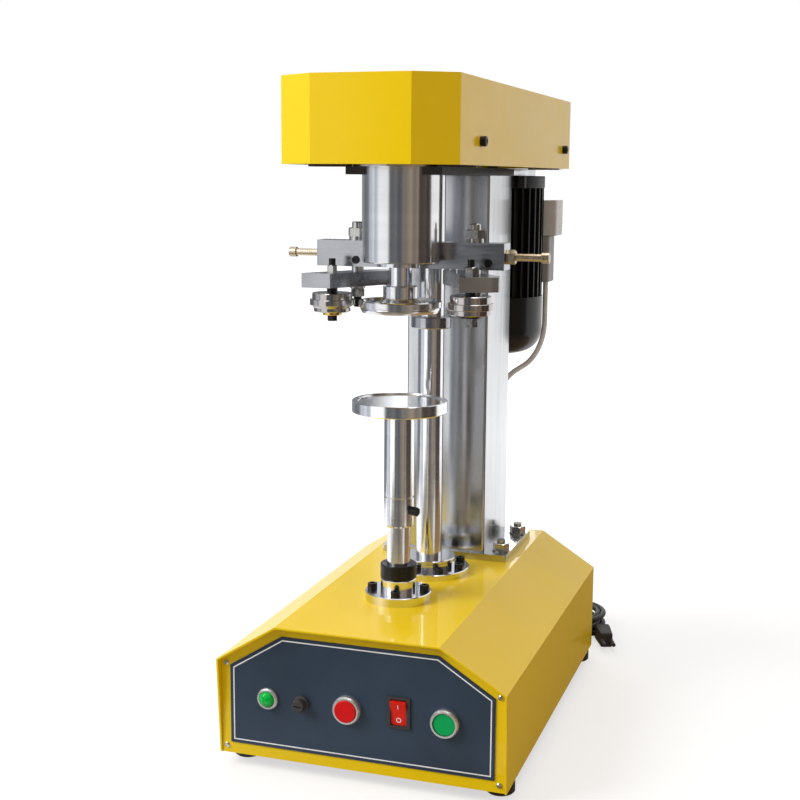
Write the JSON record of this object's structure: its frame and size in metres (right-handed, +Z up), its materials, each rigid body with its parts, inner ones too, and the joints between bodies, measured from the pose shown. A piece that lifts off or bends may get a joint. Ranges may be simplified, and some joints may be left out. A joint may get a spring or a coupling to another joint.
{
  "type": "can sealing machine",
  "caption": "Bench can sealing machine with a yellow sheet-metal base and drive cover, a steel column, seaming roller arms, a spindle chuck, a lifting can seat and a finned motor",
  "frame": {"origin": "on the ground, in the middle of the floor area that the machine covers without its cord", "axes": "+Z up, +X to the operator's right, +Y to the rear, from the control panel towards the motor"},
  "size_m": [0.3276, 0.5894, 0.687],
  "materials": {
    "yellow_paint": "gloss",
    "panel_print": "satin",
    "bright_steel": "satin",
    "chrome": "polished",
    "dark_steel": "satin",
    "black_screws": "satin",
    "zinc_yellow": "satin",
    "cast_metal": "satin",
    "grey_paint": "satin",
    "white_plastic": "gloss",
    "grey_plastic": "matte",
    "black_plastic": "matte",
    "black_rubber": "matte",
    "green_lens": "gloss",
    "green_plastic": "gloss",
    "red_plastic": "gloss"
  },
  "bodies": {
    "root": {"base_cover": "yellow_paint", "front_panel": "yellow_paint", "control_plate": "panel_print", "rear_panel": "yellow_paint", "panel_screws": "bright_steel", "base_tray": "dark_steel", "rubber_feet": "black_rubber", "inner_frame": "dark_steel", "control_bezels": "chrome", "lamp_lens": "green_lens", "fuse_holder": "black_plastic", "switch_frame": "black_plastic", "lifter_bush_housing": "bright_steel", "spindle_housing": "chrome", "shaft_bearings": "bright_steel", "cam_bearing_housing": "bright_steel", "column": "bright_steel", "stud_bolts": "bright_steel", "socket_screws": "black_screws", "head_plate": "dark_steel", "top_cover": "yellow_paint", "cross_beam": "dark_steel", "adjusting_screws": "zinc_yellow", "motor_end_cap": "cast_metal", "motor_body": "cast_metal", "fan_cowl": "grey_paint", "drive_belt": "black_rubber", "terminal_box": "white_plastic", "capacitor_box": "grey_plastic", "motor_cable": "grey_plastic", "cord_gland": "black_plastic", "power_cord": "black_rubber", "cord_coil": "black_rubber", "plug": "black_plastic"},
    "spindle": {"spindle_shaft": "bright_steel", "seaming_chuck": "chrome", "spindle_pulley": "dark_steel"},
    "cam_drive": {"cam_shaft": "bright_steel", "cam_collar": "dark_steel", "seaming_cams": "dark_steel", "lifting_cam": "dark_steel", "cam_gear": "bright_steel"},
    "rotor": {"motor_rotor": "cast_metal", "motor_pulley": "dark_steel"},
    "lever": {"lifting_lever": "dark_steel"},
    "lifter": {"lifter_shaft": "bright_steel", "lifter_stop_collar": "black_screws"},
    "seat_post": {"seat_sleeve": "bright_steel"},
    "seat": {"seat_plate": "bright_steel"},
    "left_arm_body": {"left_arm": "dark_steel", "left_roller_bolt": "black_screws"},
    "right_arm_body": {"right_arm": "dark_steel", "right_roller_bolt": "black_screws"},
    "left_roller_body": {"left_roller": "chrome"},
    "right_roller_body": {"right_roller": "chrome"},
    "left_follower_body": {"left_follower": "bright_steel"},
    "right_follower_body": {"right_follower": "bright_steel"},
    "red_button": {"red_button_cap": "red_plastic"},
    "green_button": {"green_button_cap": "green_plastic"},
    "rocker": {"switch_rocker": "red_plastic"}
  },
  "joints": [
    {"name": "cam_spin", "type": "hinge", "parent": "root", "child": "cam_drive", "pos_m": [0, -0.0293, 0.3], "axis": [0, 0, 1], "continuous": true},
    {"name": "spindle_spin", "type": "hinge", "parent": "root", "child": "spindle", "pos_m": [0, -0.1373, 0.55], "axis": [0, 0, 1], "continuous": true},
    {"name": "motor_spin", "type": "hinge", "parent": "root", "child": "rotor", "pos_m": [0.005, 0.206, 0.5], "axis": [0, 0, 1], "continuous": true},
    {"name": "lever_swing", "type": "hinge", "parent": "root", "child": "lever", "pos_m": [0, -0.0933, 0.093], "axis": [-1, 0, 0], "range_deg": [0, 17.5]},
    {"name": "lifter_slide", "type": "slide", "parent": "root", "child": "lifter", "axis": [0, 0, 1], "range_m": [0, 0.0135]},
    {"name": "seat_height", "type": "slide", "parent": "lifter", "child": "seat_post", "axis": [0, 0, 1], "range_m": [-0.036, 0.04]},
    {"name": "seat_spin", "type": "hinge", "parent": "seat_post", "child": "seat", "pos_m": [0, -0.1373, 0.36], "axis": [0, 0, 1], "continuous": true},
    {"name": "left_arm_swing", "type": "hinge", "parent": "root", "child": "left_arm_body", "pos_m": [-0.06, -0.0995, 0.488], "axis": [0, 0, 1], "range_deg": [0, 12]},
    {"name": "right_arm_swing", "type": "hinge", "parent": "root", "child": "right_arm_body", "pos_m": [0.067, -0.0995, 0.488], "axis": [0, 0, -1], "range_deg": [0, 11]},
    {"name": "left_roller_spin", "type": "hinge", "parent": "left_arm_body", "child": "left_roller_body", "pos_m": [-0.0745, -0.136, 0.465], "axis": [0, 0, 1], "continuous": true},
    {"name": "right_roller_spin", "type": "hinge", "parent": "right_arm_body", "child": "right_roller_body", "pos_m": [0.0735, -0.136, 0.465], "axis": [0, 0, 1], "continuous": true},
    {"name": "left_follower_spin", "type": "hinge", "parent": "left_arm_body", "child": "left_follower_body", "pos_m": [-0.02814, -0.04654, 0.5], "axis": [0, 0, 1], "continuous": true},
    {"name": "right_follower_spin", "type": "hinge", "parent": "right_arm_body", "child": "right_follower_body", "pos_m": [0.02814, -0.04654, 0.51], "axis": [0, 0, 1], "continuous": true},
    {"name": "red_button_press", "type": "slide", "parent": "root", "child": "red_button", "axis": [0, 1, 0], "range_m": [0, 0.003], "stiffness_N_per_m": 300},
    {"name": "green_button_press", "type": "slide", "parent": "root", "child": "green_button", "axis": [0, 1, 0], "range_m": [0, 0.003], "stiffness_N_per_m": 300},
    {"name": "rocker_swing", "type": "hinge", "parent": "root", "child": "rocker", "pos_m": [0.0415, -0.2567, 0.082], "axis": [-1, 0, 0], "range_deg": [0, 24]}
  ],
  "couplings": [
    {"joint": "spindle_spin", "follows": "cam_spin", "ratio": -3},
    {"joint": "motor_spin", "follows": "cam_spin", "ratio": -6.75},
    {"joint": "lever_swing", "follows": "lifter_slide", "rad_per_m": 22.57}
  ]
}
